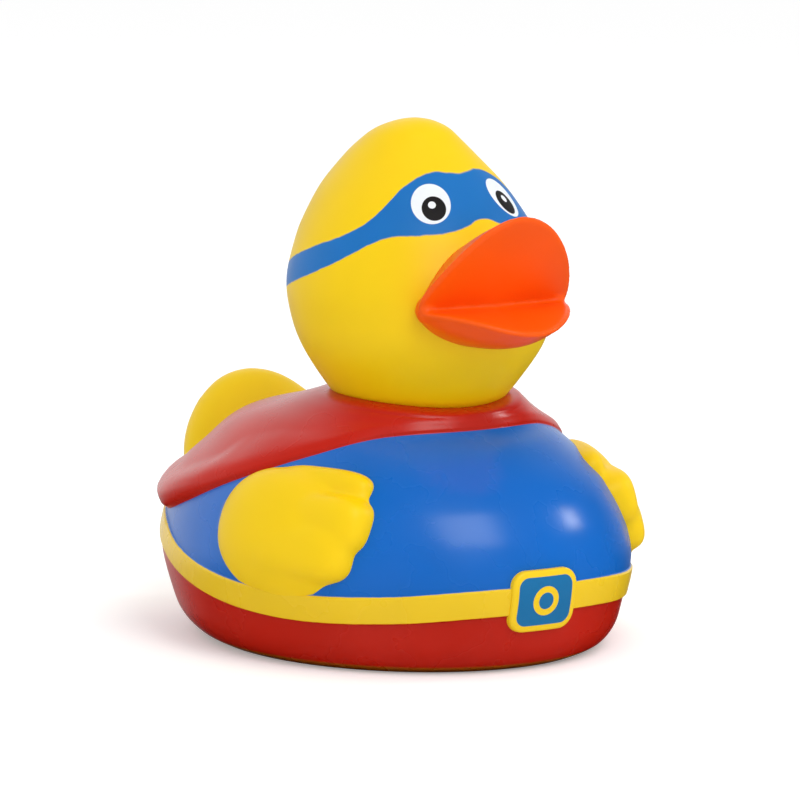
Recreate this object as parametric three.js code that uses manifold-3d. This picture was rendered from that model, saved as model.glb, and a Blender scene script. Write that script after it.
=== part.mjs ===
// Bath duck in a cape: one hollow body of moulded vinyl, standing on a flat foot.
// Millimetres. The duck looks along -Y, its own left side is +X, and +Z is up.

import * as THREE from "three";
import { mergeVertices } from "three/addons/utils/BufferGeometryUtils.js";
import Module from "manifold-3d";

const wasm = await Module();
wasm.setup();

// Wall and air hole. The hollow ends where half its width would come under leastHollow.
const wall = 2;
const leastHollow = 1;
const airHoleDiameter = 3;

// Body, from the foot to the collar
const bodyWidth = 71.2;
const bodyLength = 84.8;
const bodyHeight = 40.2;

// Head, round in plan, from inside the neck to the crown. Its axis stands in front of the body's.
const headWidth = 42;
const neckHeight = 34;
const crownHeight = 83.5;
const headForward = 7;

// Tail, from inside the rump to its upturned tip. Its axis stands behind the body's.
const tailWidth = 31.6;
const tailThickness = 18.8;
const tailRootHeight = 12;
const tailTipHeight = 37.7;
const tailBack = 31;

// How far the middle of a form's end face stands out
const capRise = 0.4;

// Oval sections of the body, head and tail, each as [rise, width, length, shift, dip].
// Rise and dip are shares of the form's height, width and length are shares of its greatest ones,
// and shift is how far the section's centre is moved back, as a share of half the form's length.
// Dip is how far the front of the section hangs below its rise.
const bodySections = [
  [0, 0.801, 0.802, -0.021, 0],
  [0.03, 0.865, 0.868, -0.017, 0],
  [0.085, 0.921, 0.92, -0.005, 0],
  [0.164, 0.955, 0.955, 0.007, 0],
  [0.348, 1, 1, 0.014, 0],
  [0.493, 0.978, 0.979, 0.017, 0],
  [0.597, 0.938, 0.936, 0.021, 0],
  [0.672, 0.882, 0.88, 0.019, 0],
  [0.746, 0.801, 0.797, 0.014, 0],
  [0.831, 0.702, 0.691, 0.021, 0.002],
  [0.881, 0.626, 0.599, 0.005, 0.01],
  [0.925, 0.539, 0.486, -0.068, 0.02],
  [0.963, 0.472, 0.408, -0.125, 0.03],
  [0.988, 0.416, 0.354, -0.158, 0.035],
  [1, 0.281, 0.236, -0.165, 0.035],
];
const headSections = [
  [0, 0.333, 0.333, 0, 0],
  [0.077, 0.552, 0.552, 0, 0],
  [0.168, 0.738, 0.738, -0.005, 0],
  [0.293, 0.924, 0.924, -0.019, 0],
  [0.404, 0.995, 0.995, 0.005, 0],
  [0.505, 1, 1, 0.029, 0],
  [0.622, 0.919, 0.919, 0.062, 0],
  [0.697, 0.838, 0.838, 0.086, 0],
  [0.796, 0.69, 0.69, 0.124, 0],
  [0.887, 0.5, 0.5, 0.152, 0],
  [0.937, 0.381, 0.381, 0.148, 0],
  [0.974, 0.262, 0.262, 0.124, 0],
  [1, 0.114, 0.114, 0.095, 0],
];
const tailSections = [
  [0, 0.633, 0.638, 0, 0],
  [0.233, 0.949, 0.957, 0.447, 0],
  [0.467, 1, 1, 0.787, 0],
  [0.661, 0.886, 0.851, 1.085, 0],
  [0.837, 0.658, 0.596, 1.34, 0],
  [0.949, 0.418, 0.383, 1.468, 0],
  [1, 0.19, 0.191, 1.511, 0],
];

// Cape, belt and buckle, raised out of the body
const capeRelief = 1.1;
const beltRelief = 0.5;
const beltWidth = 4.2;
const buckleRelief = 1;
const buckleWidth = 11.9;
const buckleHeight = 9.8;
const buckleCorner = 2.6;
const buckleMiddle = 11.7;

// Lower edge of the cape seen from the side, from the chest to the back, and below it the
// middle line of the belt. Both are shares of half the body's length and of its height.
const capeEdge = [
  [-1.415, 0.905],
  [-0.708, 0.905],
  [-0.448, 0.886],
  [-0.283, 0.811],
  [0, 0.687],
  [0.259, 0.577],
  [0.519, 0.507],
  [0.849, 0.532],
  [1.415, 0.572],
];
const beltLine = [
  [-1.415, 0.308],
  [-0.991, 0.296],
  [-0.778, 0.269],
  [-0.472, 0.254],
  [-0.189, 0.269],
  [0.047, 0.303],
  [0.259, 0.353],
  [0.472, 0.423],
  [0.708, 0.483],
  [0.991, 0.507],
  [1.415, 0.507],
];

// Bill: an open mouth with a wide upturned upper half and a shorter, thicker lower half.
// Both start at the crease of the mouth. side is 1 for the upper half and -1 for the lower one.
// point is 1 for an oval outline, and more makes it narrower at the tip. The cups are how far the
// rim stands out of its plane at the tip and on the sides, and root is how far up or down the head
// the half reaches.
const creaseHeight = 56;
const creaseStandOff = 0.4;
const billEdge = 0.5;
const billOverlap = 0.8;
const billInside = 7;
const billRootWidth = 23.8;
const mouthCornerBack = 1;
const upperBill = {
  side: 1,
  width: 27.8,
  length: 16.2,
  rise: 62,
  point: 1.5,
  tipCup: 0.3,
  sideCup: 0.3,
  dish: 0.5,
  root: 10.1,
  rootPoint: 1.7,
  swell: 0.2,
};
const lowerBill = {
  side: -1,
  width: 26.6,
  length: 12.2,
  rise: -15,
  point: 1.8,
  tipCup: 0.4,
  sideCup: 0.8,
  dish: 0.2,
  root: 6.5,
  rootPoint: 1,
  swell: 0.8,
};
const mouthCorner = { halfWidth: 1.7, halfLength: 2.6, halfHeight: 2.2, inset: 2.4, back: 2.2, turn: 35 };

// Wings: a mitten on each side, with short lobes at its front end.
// The lobes have shares of the palm's sizes and are placed from its middle by such shares too.
// A fullness of 2 makes an ellipsoid, and more makes its ends squarer.
// The lean turns the wing's lower edge away from the body, and the tilt lowers the palm's front.
const wingHeight = 20;
const wingBearing = 68.9;
const wingLean = 14.2;
const palm = { halfLength: 14, halfHeight: 10.75, halfThickness: 6.2, standOff: 1.5 };
const palmTilt = -8.8;
const palmFullness = 2.19;
const lobes = [
  { forward: 0.341, out: -0.098, up: 0.748, length: 0.67, height: 0.336, thickness: 0.427 },
  { forward: 0.617, out: 0.142, up: 0.256, length: 0.552, height: 0.446, thickness: 0.744 },
  { forward: 0.309, out: 0.238, up: -0.181, length: 0.746, height: 0.458, thickness: 0.777 },
];
const lobeFullness = 3.33;

// Fineness of the faces
const bodySides = 56;
const bodyRows = 27;
const headSides = 40;
const headRows = 22;
const tailSides = 24;
const tailRows = 10;
const hollowSides = 18;
const hollowRows = 10;
const lobeSides = 16;
const lobeRows = 9;
const holeSides = 20;
const lineSteps = 4;
const billSides = 32;
const billFaceSteps = 3;
const billEdgeSteps = 2;
const billFlankSteps = 4;
const cornerSteps = 5;
const halvings = 40;
const sharedPointDistance = 1e-4;

// Longer than the duck in every direction, for tools that cut right through it
const clear = 120;

// Keeps the position alone, with shared points merged.
function bareGeometry(geometry) {
  const bare = geometry.clone();
  bare.deleteAttribute("normal");
  bare.deleteAttribute("uv");
  return mergeVertices(bare, sharedPointDistance);
}

function solidFrom(geometry) {
  const merged = bareGeometry(geometry);
  const corners = merged.index.array;
  const triangles = [];
  for (let i = 0; i < corners.length; i += 3) {
    const [a, b, c] = [corners[i], corners[i + 1], corners[i + 2]];
    if (a !== b && b !== c && c !== a) {
      triangles.push(a, b, c);
    }
  }
  const vertProperties = new Float32Array(merged.attributes.position.array);
  const triVerts = new Uint32Array(triangles);
  return new wasm.Manifold(new wasm.Mesh({ numProp: 3, vertProperties, triVerts }));
}

function geometryFrom(solid) {
  const mesh = solid.getMesh();
  const geometry = new THREE.BufferGeometry();
  geometry.setAttribute("position", new THREE.BufferAttribute(mesh.vertProperties, 3));
  geometry.setIndex(new THREE.BufferAttribute(mesh.triVerts, 1));
  return geometry;
}

// Real sections of a form from its rows of shares.
function realSections(rows, form) {
  return rows.map(([rise, width, length, shift, dip]) => ({
    height: form.bottom + rise * (form.top - form.bottom),
    halfWidth: (width * form.width) / 2,
    halfLength: (length * form.length) / 2,
    centre: form.back + (shift * form.length) / 2,
    dip: dip * (form.top - form.bottom),
  }));
}

const body = realSections(bodySections, {
  bottom: 0,
  top: bodyHeight,
  width: bodyWidth,
  length: bodyLength,
  back: 0,
});
const head = realSections(headSections, {
  bottom: neckHeight,
  top: crownHeight,
  width: headWidth,
  length: headWidth,
  back: -headForward,
});
const tail = realSections(tailSections, {
  bottom: tailRootHeight,
  top: tailTipHeight,
  width: tailWidth,
  length: tailThickness,
  back: tailBack,
});

// Smooth curves through a list of sections, read at a share of the way from the first to the last.
function sectionCurves(sections) {
  const sides = new THREE.SplineCurve(sections.map((s) => new THREE.Vector2(s.halfWidth, s.height)));
  const plans = new THREE.SplineCurve(sections.map((s) => new THREE.Vector2(s.halfLength, s.centre)));
  const dips = new THREE.SplineCurve(sections.map((s) => new THREE.Vector2(s.dip, 0)));
  return (share) => {
    const side = sides.getPoint(share);
    const plan = plans.getPoint(share);
    return {
      halfWidth: side.x,
      height: side.y,
      halfLength: plan.x,
      centre: plan.y,
      dip: dips.getPoint(share).x,
    };
  };
}

// The section at a given height, found by halving.
function sectionAt(sections, height) {
  const read = sectionCurves(sections);
  let low = 0;
  let high = 1;
  for (let i = 0; i < halvings; i += 1) {
    const middle = (low + high) / 2;
    if (read(middle).height < height) {
      low = middle;
    } else {
      high = middle;
    }
  }
  return read(low);
}

// A closed form whose level sections are ovals, through the given sections in order.
function ovalForm(sections, sides, rows) {
  const read = sectionCurves(sections);
  const levels = [{ ...read(0), halfWidth: 0, halfLength: 0 }];
  for (let row = 0; row <= rows; row += 1) {
    levels.push(read(row / rows));
  }
  const last = read(1);
  levels.push({ ...last, height: last.height + capRise, halfWidth: 0, halfLength: 0 });
  const profile = levels.map((level) => new THREE.Vector2(level.halfWidth, level.height));
  const geometry = new THREE.LatheGeometry(profile, sides);
  geometry.rotateX(Math.PI / 2);
  const points = geometry.attributes.position;
  for (let i = 0; i < points.count; i += 1) {
    const level = levels[i % levels.length];
    const forward = level.halfWidth > 0 ? points.getY(i) / level.halfWidth : 0;
    points.setY(i, level.centre + forward * level.halfLength);
    points.setZ(i, points.getZ(i) - level.dip * Math.max(-forward, 0) ** 2);
  }
  return geometry;
}

// The same sections brought in by the wall, for the hollow inside them.
function hollowSections(sections, lowest) {
  const wide = sections.filter((s) => Math.min(s.halfWidth, s.halfLength) - wall > leastHollow);
  const first = wide[0].height;
  const last = wide[wide.length - 1].height;
  const scale = (last - wall - lowest) / (last - first);
  return wide.map((s) => ({
    ...s,
    height: lowest + (s.height - first) * scale,
    halfWidth: s.halfWidth - wall,
    halfLength: s.halfLength - wall,
  }));
}

// Every point moved out along its own normal.
function swollen(geometry, distance) {
  const merged = bareGeometry(geometry);
  merged.computeVertexNormals();
  const points = merged.attributes.position;
  const normals = merged.attributes.normal;
  const point = new THREE.Vector3();
  const normal = new THREE.Vector3();
  for (let i = 0; i < points.count; i += 1) {
    point.fromBufferAttribute(points, i);
    normal.fromBufferAttribute(normals, i);
    point.addScaledVector(normal, distance);
    points.setXYZ(i, point.x, point.y, point.z);
  }
  return merged;
}

// A smooth line along the body's side, through points given as shares of its half length and height.
function smoothLine(points) {
  const halfLength = bodyLength / 2;
  const real = points.map(([along, up]) => new THREE.Vector2(along * halfLength, up * bodyHeight));
  const curve = new THREE.SplineCurve(real);
  return curve.getPoints(points.length * lineSteps);
}

// A side outline in Y and Z, drawn through the whole width of the duck.
function acrossWidth(outline) {
  const shape = new THREE.Shape(outline);
  const geometry = new THREE.ExtrudeGeometry(shape, { depth: 2 * clear, bevelEnabled: false });
  geometry.translate(0, 0, -clear);
  const turn = new THREE.Matrix4().makeBasis(
    new THREE.Vector3(0, 1, 0),
    new THREE.Vector3(0, 0, 1),
    new THREE.Vector3(1, 0, 0),
  );
  return geometry.applyMatrix4(turn);
}

function makeCape(bodyForm) {
  const edge = smoothLine(capeEdge);
  const first = edge[0];
  const last = edge[edge.length - 1];
  const above = [new THREE.Vector2(last.x, clear), new THREE.Vector2(first.x, clear)];
  const cut = solidFrom(acrossWidth([...edge, ...above]));
  return solidFrom(swollen(bodyForm, capeRelief)).intersect(cut);
}

function makeBelt(bodyForm) {
  const middle = smoothLine(beltLine);
  const lower = middle.map((p) => new THREE.Vector2(p.x, p.y - beltWidth / 2));
  const upper = middle.map((p) => new THREE.Vector2(p.x, p.y + beltWidth / 2));
  const cut = solidFrom(acrossWidth([...lower, ...upper.reverse()]));
  return solidFrom(swollen(bodyForm, beltRelief)).intersect(cut);
}

function makeBuckle(bodyForm) {
  const across = buckleWidth / 2 - buckleCorner;
  const along = buckleHeight / 2 - buckleCorner;
  const quarter = Math.PI / 2;
  const shape = new THREE.Shape();
  shape.absarc(across, along, buckleCorner, 0, quarter);
  shape.absarc(-across, along, buckleCorner, quarter, 2 * quarter);
  shape.absarc(-across, -along, buckleCorner, 2 * quarter, 3 * quarter);
  shape.absarc(across, -along, buckleCorner, 3 * quarter, 4 * quarter);
  const plate = new THREE.ExtrudeGeometry(shape, {
    depth: clear,
    bevelEnabled: false,
    curveSegments: cornerSteps,
  });
  plate.rotateX(quarter);
  plate.translate(0, 0, buckleMiddle);
  return solidFrom(swollen(bodyForm, buckleRelief)).intersect(solidFrom(plate));
}

// Where the front of the head lies at a place across and up.
function headFront(across, height) {
  const section = sectionAt(head, height);
  const reach = Math.sqrt(Math.max(1 - (across / section.halfWidth) ** 2, 0));
  return section.centre - section.halfLength * reach;
}

// One line of a bill half, from the middle of the mouth's face over the rim to inside the head.
// The angle is 0 at the tip, and lines beyond a quarter turn close the half inside the head.
function billLine(half, crease, angle) {
  const rise = THREE.MathUtils.degToRad(half.rise);
  const forward = new THREE.Vector3(0, -Math.cos(rise), Math.sin(rise));
  const out = new THREE.Vector3(0, -Math.sin(rise), -Math.cos(rise)).multiplyScalar(half.side);
  const middle = new THREE.Vector3(0, crease, creaseHeight);
  const across = half.side * Math.sin(angle);
  const ahead = Math.cos(angle);
  const open = Math.max(ahead, 0);
  const closed = Math.max(-ahead, 0);
  const down = half.side * billOverlap * closed;
  const cup = half.tipCup * open + half.sideCup * Math.sin(2 * angle) ** 2 * Math.sign(open);
  const rim = new THREE.Vector3(
    (half.width / 2) * across,
    crease + mouthCornerBack * across ** 6 + billInside * closed,
    creaseHeight - down,
  )
    .addScaledVector(forward, half.length * open ** half.point)
    .addScaledVector(out, cup);
  const rootHeight = creaseHeight + half.side * half.root * open ** half.rootPoint;
  const rootAcross = (billRootWidth / 2) * across;
  const root = new THREE.Vector3(
    rootAcross,
    headFront(rootAcross, rootHeight) + billInside * closed,
    rootHeight - down,
  );
  const edge = billEdge * THREE.MathUtils.smoothstep(ahead, 0, 1 / 3);
  const away = rim.clone().sub(middle).normalize();
  const line = [middle];
  for (let i = 1; i <= billFaceSteps; i += 1) {
    const share = i / billFaceSteps;
    const hollow = half.dish * open * 4 * share * (1 - share);
    line.push(middle.clone().lerp(rim, share).addScaledVector(out, -hollow));
  }
  for (let i = 1; i <= billEdgeSteps; i += 1) {
    const turn = (Math.PI * i) / billEdgeSteps;
    const point = rim.clone().addScaledVector(away, edge * Math.sin(turn));
    line.push(point.addScaledVector(out, -edge * (1 - Math.cos(turn))));
  }
  const start = line[line.length - 1];
  const outward = new THREE.Vector3(across, 0, half.side * ahead);
  for (let i = 1; i <= billFlankSteps; i += 1) {
    const share = i / billFlankSteps;
    const swell = half.swell * Math.sqrt(open) * Math.sin(Math.PI * share);
    line.push(start.clone().lerp(root, share).addScaledVector(outward, swell));
  }
  line.push(root.clone().add(new THREE.Vector3(0, wall, 0)));
  line.push(new THREE.Vector3(0, crease + 2 * billInside, creaseHeight + 2 * half.side * billOverlap));
  return line;
}

function billHalf(half, crease) {
  const lines = [];
  for (let i = 0; i <= billSides; i += 1) {
    lines.push(billLine(half, crease, (2 * Math.PI * i) / billSides));
  }
  const profile = lines[0].map((point, i) => new THREE.Vector2(1, i));
  const geometry = new THREE.LatheGeometry(profile, billSides);
  geometry.attributes.position.array.set(lines.flat().flatMap((point) => point.toArray()));
  return solidFrom(geometry);
}

// An egg shape, or one with squarer ends where the fullness is over 2.
function egg(halfX, halfY, halfZ, fullness = 2) {
  const geometry = new THREE.SphereGeometry(1, lobeSides, lobeRows);
  geometry.rotateX(Math.PI / 2);
  const points = geometry.attributes.position;
  const point = new THREE.Vector3();
  for (let i = 0; i < points.count; i += 1) {
    point.fromBufferAttribute(points, i);
    const powers = point.toArray().map((value) => Math.abs(value) ** fullness);
    point.divideScalar((powers[0] + powers[1] + powers[2]) ** (1 / fullness));
    points.setXYZ(i, point.x, point.y, point.z);
  }
  geometry.scale(halfX, halfY, halfZ);
  return geometry;
}

// The rounded corner of the mouth. side is 1 on the duck's left and -1 on its right.
function makeMouthCorner(crease, side) {
  const geometry = egg(mouthCorner.halfWidth, mouthCorner.halfLength, mouthCorner.halfHeight);
  geometry.rotateZ(side * THREE.MathUtils.degToRad(mouthCorner.turn));
  const across = upperBill.width / 2 - mouthCorner.inset;
  geometry.translate(side * across, crease + mouthCorner.back, creaseHeight);
  return solidFrom(geometry);
}

// Egg shapes along the body's side, joined. side is 1 for the left wing, -1 for the right one.
function eggsOnSide(eggs, side) {
  const section = sectionAt(body, wingHeight);
  const bearing = THREE.MathUtils.degToRad(wingBearing);
  const place = new THREE.Vector3(
    section.halfWidth * Math.sin(bearing),
    section.centre - section.halfLength * Math.cos(bearing),
    wingHeight,
  );
  const out = new THREE.Vector3(
    Math.sin(bearing) / section.halfWidth,
    -Math.cos(bearing) / section.halfLength,
    0,
  ).normalize();
  const forward = new THREE.Vector3(out.y, -out.x, 0);
  const turn = Math.atan2(out.y, out.x);
  const lean = THREE.MathUtils.degToRad(wingLean);
  const leanedOut = out.clone().applyAxisAngle(forward, lean);
  const leanedUp = new THREE.Vector3(0, 0, 1).applyAxisAngle(forward, lean);
  const middle = place.addScaledVector(out, palm.standOff - palm.halfThickness);
  const solids = eggs.map((one) => {
    const geometry = egg(one.halfThickness, one.halfLength, one.halfHeight, one.fullness);
    geometry.rotateX(-THREE.MathUtils.degToRad(one.tilt));
    geometry.rotateY(-lean * side);
    geometry.rotateZ(turn * side);
    const at = middle.clone().addScaledVector(forward, one.forward);
    at.addScaledVector(leanedOut, one.out).addScaledVector(leanedUp, one.up);
    geometry.translate(side * at.x, at.y, at.z);
    return solidFrom(geometry);
  });
  return solids.reduce((whole, solid) => whole.add(solid));
}

function makeWing(side) {
  const palmEgg = { ...palm, forward: 0, out: 0, up: 0, tilt: palmTilt, fullness: palmFullness };
  const lobeEggs = lobes.map((lobe) => ({
    forward: lobe.forward * palm.halfLength,
    out: lobe.out * palm.halfThickness,
    up: lobe.up * palm.halfHeight,
    halfLength: lobe.length * palm.halfLength,
    halfHeight: lobe.height * palm.halfHeight,
    halfThickness: lobe.thickness * palm.halfThickness,
    tilt: 0,
    fullness: lobeFullness,
  }));
  return eggsOnSide([palmEgg, ...lobeEggs], side);
}

// The palm is hollow too, open to the hollow of the body.
function makeWingHollow(side) {
  const inner = {
    halfThickness: palm.halfThickness - wall,
    halfLength: palm.halfLength - wall,
    halfHeight: palm.halfHeight - wall,
    forward: 0,
    out: 0,
    up: 0,
    tilt: palmTilt,
    fullness: palmFullness,
  };
  return eggsOnSide([inner], side);
}

function hollowForm(sections, lowest) {
  return solidFrom(ovalForm(hollowSections(sections, lowest), hollowSides, hollowRows));
}

function makeHollow() {
  const holeRadius = airHoleDiameter / 2;
  const hole = new THREE.CylinderGeometry(holeRadius, holeRadius, 4 * wall, holeSides);
  hole.rotateX(Math.PI / 2);
  return hollowForm(body, wall)
    .add(hollowForm(head, neckHeight))
    .add(hollowForm(tail, tailRootHeight))
    .add(makeWingHollow(1))
    .add(makeWingHollow(-1))
    .add(solidFrom(hole));
}

function makeDuck() {
  const bodyForm = ovalForm(body, bodySides, bodyRows);
  const face = sectionAt(head, creaseHeight);
  const crease = face.centre - face.halfLength - creaseStandOff;
  return solidFrom(bodyForm)
    .add(makeCape(bodyForm))
    .add(makeBelt(bodyForm))
    .add(makeBuckle(bodyForm))
    .add(solidFrom(ovalForm(tail, tailSides, tailRows)))
    .add(makeWing(1))
    .add(makeWing(-1))
    .add(solidFrom(ovalForm(head, headSides, headRows)))
    .add(billHalf(upperBill, crease))
    .add(billHalf(lowerBill, crease))
    .add(makeMouthCorner(crease, 1))
    .add(makeMouthCorner(crease, -1))
    .subtract(makeHollow());
}

// The origin is on the floor, under the middle of the duck's length.
const duckGeometry = geometryFrom(makeDuck());
duckGeometry.computeBoundingBox();
const middle = duckGeometry.boundingBox.getCenter(new THREE.Vector3());
duckGeometry.translate(0, -middle.y, 0);

const vinyl = new THREE.MeshStandardMaterial({ color: 0xf7d416, roughness: 0.45, metalness: 0 });
const duckBody = new THREE.Mesh(duckGeometry, vinyl);
duckBody.name = "duck_body";

const duck = new THREE.Group();
duck.add(duckBody);

export default duck;
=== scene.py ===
"""Finished look of a bath duck in a mask, a cape and a belt: one hollow, spray-painted vinyl moulding."""

import math
from collections import namedtuple
from dataclasses import dataclass

import bmesh
import bpy
from mathutils import Matrix, Vector


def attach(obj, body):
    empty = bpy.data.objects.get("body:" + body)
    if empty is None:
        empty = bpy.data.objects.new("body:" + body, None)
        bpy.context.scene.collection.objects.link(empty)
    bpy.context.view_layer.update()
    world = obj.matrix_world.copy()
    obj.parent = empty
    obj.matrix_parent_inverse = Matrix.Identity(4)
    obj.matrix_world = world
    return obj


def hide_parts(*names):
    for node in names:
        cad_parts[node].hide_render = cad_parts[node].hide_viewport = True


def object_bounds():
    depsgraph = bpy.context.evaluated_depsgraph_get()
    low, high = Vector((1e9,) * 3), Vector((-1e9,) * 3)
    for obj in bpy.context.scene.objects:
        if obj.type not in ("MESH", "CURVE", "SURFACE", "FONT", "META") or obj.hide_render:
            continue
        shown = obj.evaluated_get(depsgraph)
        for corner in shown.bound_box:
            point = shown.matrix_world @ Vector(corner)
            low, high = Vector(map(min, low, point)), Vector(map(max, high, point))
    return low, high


bl_info = {
    "name": "Bath duck",
    "version": (1, 0, 0),
    "blender": (4, 5, 0),
    "location": "View3D > Sidebar > Duck",
    "description": "Models and paints a hollow vinyl bath duck and sets its studio",
    "category": "Add Mesh",
}

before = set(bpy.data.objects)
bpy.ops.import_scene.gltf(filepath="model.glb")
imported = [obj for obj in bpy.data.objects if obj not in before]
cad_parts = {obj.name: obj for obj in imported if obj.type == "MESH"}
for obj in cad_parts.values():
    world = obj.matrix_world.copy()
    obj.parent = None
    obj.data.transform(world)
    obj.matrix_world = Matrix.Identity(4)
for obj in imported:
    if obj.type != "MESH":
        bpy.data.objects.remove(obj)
CAD_LOW, CAD_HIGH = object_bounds()

MM = 0.001

# Body, head and tail, in metres. The duck looks along -Y, and the body's own middle is at Y 0
# until LENGTH_SHIFT centres the finished moulding on its length.
LENGTH_SHIFT = -3.16 * MM
BODY_WIDTH = 71.2 * MM
BODY_LENGTH = 84.8 * MM
BODY_HEIGHT = 40.2 * MM
HEAD_WIDTH = 42 * MM
NECK_HEIGHT = 34 * MM
CROWN_HEIGHT = 83.5 * MM
HEAD_FORWARD = 7 * MM
HEAD_AXIS = -6.5 * MM
TAIL_WIDTH = 31.6 * MM
TAIL_THICKNESS = 18.8 * MM
TAIL_ROOT_HEIGHT = 12 * MM
TAIL_TIP_HEIGHT = 37.7 * MM
TAIL_BACK = 31 * MM

# Oval sections, each as (rise, width, length, shift, dip). Rise and dip are shares of the form's
# height, width and length are shares of its greatest ones, and shift moves the section's centre
# back by a share of half the form's length. Dip is how far the front hangs below the rise.
BODY_SECTIONS = (
    (0, 0.801, 0.802, -0.021, 0),
    (0.03, 0.865, 0.868, -0.017, 0),
    (0.085, 0.921, 0.92, -0.005, 0),
    (0.164, 0.955, 0.955, 0.007, 0),
    (0.348, 1, 1, 0.014, 0),
    (0.493, 0.978, 0.979, 0.017, 0),
    (0.597, 0.938, 0.936, 0.021, 0),
    (0.672, 0.882, 0.88, 0.019, 0),
    (0.746, 0.801, 0.797, 0.014, 0),
    (0.831, 0.702, 0.691, 0.021, 0.002),
    (0.881, 0.626, 0.599, 0.005, 0.01),
    (0.925, 0.539, 0.486, -0.068, 0.02),
    (0.963, 0.472, 0.408, -0.125, 0.03),
    (0.988, 0.416, 0.354, -0.158, 0.035),
    (1, 0.281, 0.236, -0.165, 0.035),
)
HEAD_SECTIONS = (
    (0, 0.333, 0.333, 0, 0),
    (0.077, 0.552, 0.552, 0, 0),
    (0.168, 0.738, 0.738, -0.005, 0),
    (0.293, 0.924, 0.924, -0.019, 0),
    (0.404, 0.995, 0.995, 0.005, 0),
    (0.505, 1, 1, 0.029, 0),
    (0.622, 0.919, 0.919, 0.062, 0),
    (0.697, 0.838, 0.838, 0.086, 0),
    (0.796, 0.69, 0.69, 0.124, 0),
    (0.887, 0.5, 0.5, 0.152, 0),
    (0.937, 0.381, 0.381, 0.148, 0),
    (0.974, 0.278, 0.278, 0.124, 0),
    (1, 0.135, 0.135, 0.095, 0),
    (1.008, 0.012, 0.012, 0.09, 0),
)
TAIL_SECTIONS = (
    (0, 0.633, 0.638, 0, 0),
    (0.233, 0.949, 0.957, 0.447, 0),
    (0.467, 1, 1, 0.787, 0),
    (0.661, 0.886, 0.851, 1.085, 0),
    (0.837, 0.658, 0.596, 1.34, 0),
    (0.949, 0.418, 0.383, 1.468, 0),
    (1, 0.2, 0.2, 1.511, 0),
    (1.0156, 0.02, 0.02, 1.525, 0),
)

# Lower edge of the cape and middle line of the belt seen from the side, from the chest to the
# back, as shares of half the body's length and of its height.
CAPE_EDGE = (
    (-1.415, 0.905), (-0.708, 0.905), (-0.448, 0.886), (-0.283, 0.811), (0, 0.687),
    (0.259, 0.577), (0.519, 0.507), (0.849, 0.532), (1.415, 0.572),
)
BELT_LINE = (
    (-1.415, 0.308), (-0.991, 0.296), (-0.778, 0.269), (-0.472, 0.254), (-0.189, 0.269),
    (0.047, 0.303), (0.259, 0.353), (0.472, 0.423), (0.708, 0.483), (0.991, 0.507),
    (1.415, 0.507),
)

# Edges of the painted mask, as (degrees round the head from the middle of the face, height in mm)
MASK_TOP = (
    (0, 75.9), (5, 75.93), (12, 76.1), (23, 76.3), (35, 75.9),
    (44.6, 75), (52.1, 73.8), (57.1, 72.3), (62.6, 70.4), (70, 68.4),
    (80.3, 66.6), (92.6, 65.2), (108.8, 63.3), (140, 59.8), (180, 57.6),
)
MASK_BOTTOM = (
    (0, 69.2), (5, 69), (10, 68.4), (18.4, 67.7), (26, 67.3),
    (37.3, 67.1), (44.9, 67), (53.6, 66.8), (62.4, 65.8), (71.8, 64.1),
    (81.9, 62.3), (97.1, 60.1), (117, 57.9), (145, 55.6), (180, 53.8),
)

# Hem of the cape. It grows between two angles round the body, it rises in a step and then in a roll,
# and above the roll it settles to the cape's own thickness.
CAPE_TURN = math.radians(55)
CAPE_TURN_SPAN = math.radians(65)
CAPE_REST = 0.8 * MM
CAPE_REST_GAIN = 0.3 * MM
CAPE_STEP = 0.35 * MM
CAPE_STEP_START = 0.1 * MM
CAPE_STEP_SHARE = 0.35
CAPE_SETTLE = 6.5 * MM
BELT_STEP = 0.5 * MM

# Bill. Both halves start at the crease of the mouth. Each has an outline that is oval for a pointed
# of 1 and narrower at the tip for more, and the cups are how far its rim stands out of its plane at
# the tip and on the sides. The root is how far up or down the head it reaches.
BillShape = namedtuple("BillShape", "side rise pointed tip_cup side_cup dish root root_pointed swell")
UPPER_BILL = BillShape(
    side=1, rise=math.radians(62), pointed=1.5, tip_cup=0.3 * MM, side_cup=0.3 * MM,
    dish=0.5 * MM, root=10.1 * MM, root_pointed=1.7, swell=0.2 * MM,
)
LOWER_BILL = BillShape(
    side=-1, rise=math.radians(-15), pointed=1.8, tip_cup=0.4 * MM, side_cup=0.8 * MM,
    dish=0.2 * MM, root=6.5 * MM, root_pointed=1, swell=0.8 * MM,
)
LOWER_BILL_WIDTH = 26.6 * MM
LOWER_BILL_LENGTH = 11.7 * MM
CREASE_HEIGHT = 56 * MM
CREASE_STAND_OFF = 0.4 * MM
BILL_EDGE = 0.5 * MM
BILL_EDGE_GROWTH = 3
BILL_ROOT_HALF_WIDTH = 11.9 * MM
BILL_CORNER_BACK = 1 * MM
BILL_CORNER_POWER = 6
BILL_INSIDE = 7 * MM
BILL_OVERLAP = 0.8 * MM
BILL_ROOT_DEPTH = 2 * MM
BILL_END_RISE = 3 * MM
BILL_END_SHARE = 0.9
MOUTH_CORNER = (1.7 * MM, 2.6 * MM, 2.2 * MM)
MOUTH_CORNER_INSET = 2.4 * MM
MOUTH_CORNER_BACK = 2.2 * MM
MOUTH_CORNER_TURN = math.radians(35)

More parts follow.
